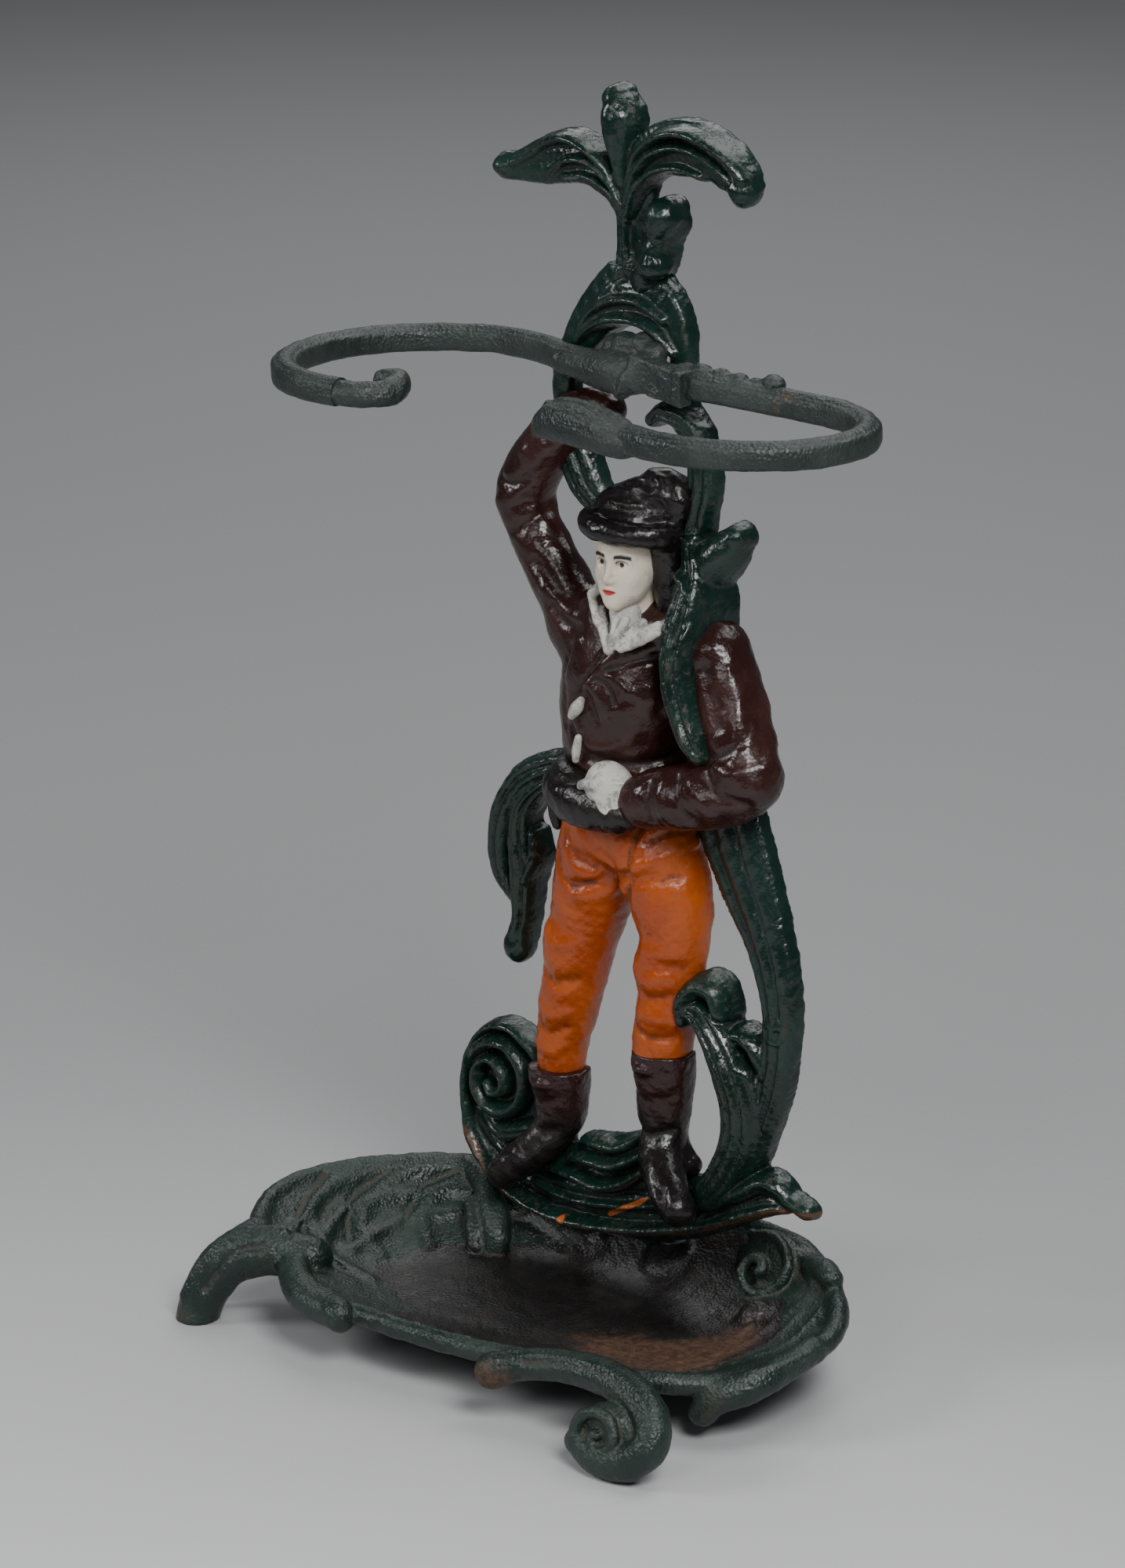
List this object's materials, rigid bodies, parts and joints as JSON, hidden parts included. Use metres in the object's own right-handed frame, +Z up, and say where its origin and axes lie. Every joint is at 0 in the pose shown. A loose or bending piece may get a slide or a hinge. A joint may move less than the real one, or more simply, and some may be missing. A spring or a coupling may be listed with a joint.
{
  "type": "umbrella stand",
  "caption": "Painted cast-iron umbrella stand: shell-shaped drip tray on scroll feet, figure-and-scroll back casting and an open two-loop holder at the top.",
  "frame": {"origin": "on the floor, under the middle of the stand's bounding box", "axes": "+Z up, -Y towards the front that the figure faces, +X to the right as seen from the front"},
  "size_m": [0.401, 0.2444, 0.7],
  "materials": {
    "tray_green": "matt worn grey-green paint on cast iron",
    "tray_black": "dull black paint with rust, on the tray's floor",
    "scroll_green": "glossy bottle-green enamel on cast iron",
    "holder_green": "matt worn grey-green paint on cast iron",
    "coat_paint": "glossy dark maroon-brown enamel",
    "breeches_paint": "glossy orange enamel with grime in the folds",
    "boot_paint": "glossy black enamel",
    "pale_paint": "cream enamel, grimy in the hollows",
    "fastener_iron": "dull rusted black iron"
  },
  "bodies": {
    "root": {"base_tray": "tray_green", "figure_back": "scroll_green", "umbrella_holder": "holder_green", "base_bolt_left": "fastener_iron", "base_bolt_right": "fastener_iron", "base_washer_left": "fastener_iron", "base_washer_right": "fastener_iron", "base_nut_left": "fastener_iron", "base_nut_right": "fastener_iron", "nut_washer_left": "fastener_iron", "nut_washer_right": "fastener_iron", "holder_bolt": "fastener_iron", "holder_washer": "fastener_iron"}
  },
  "joints": []
}
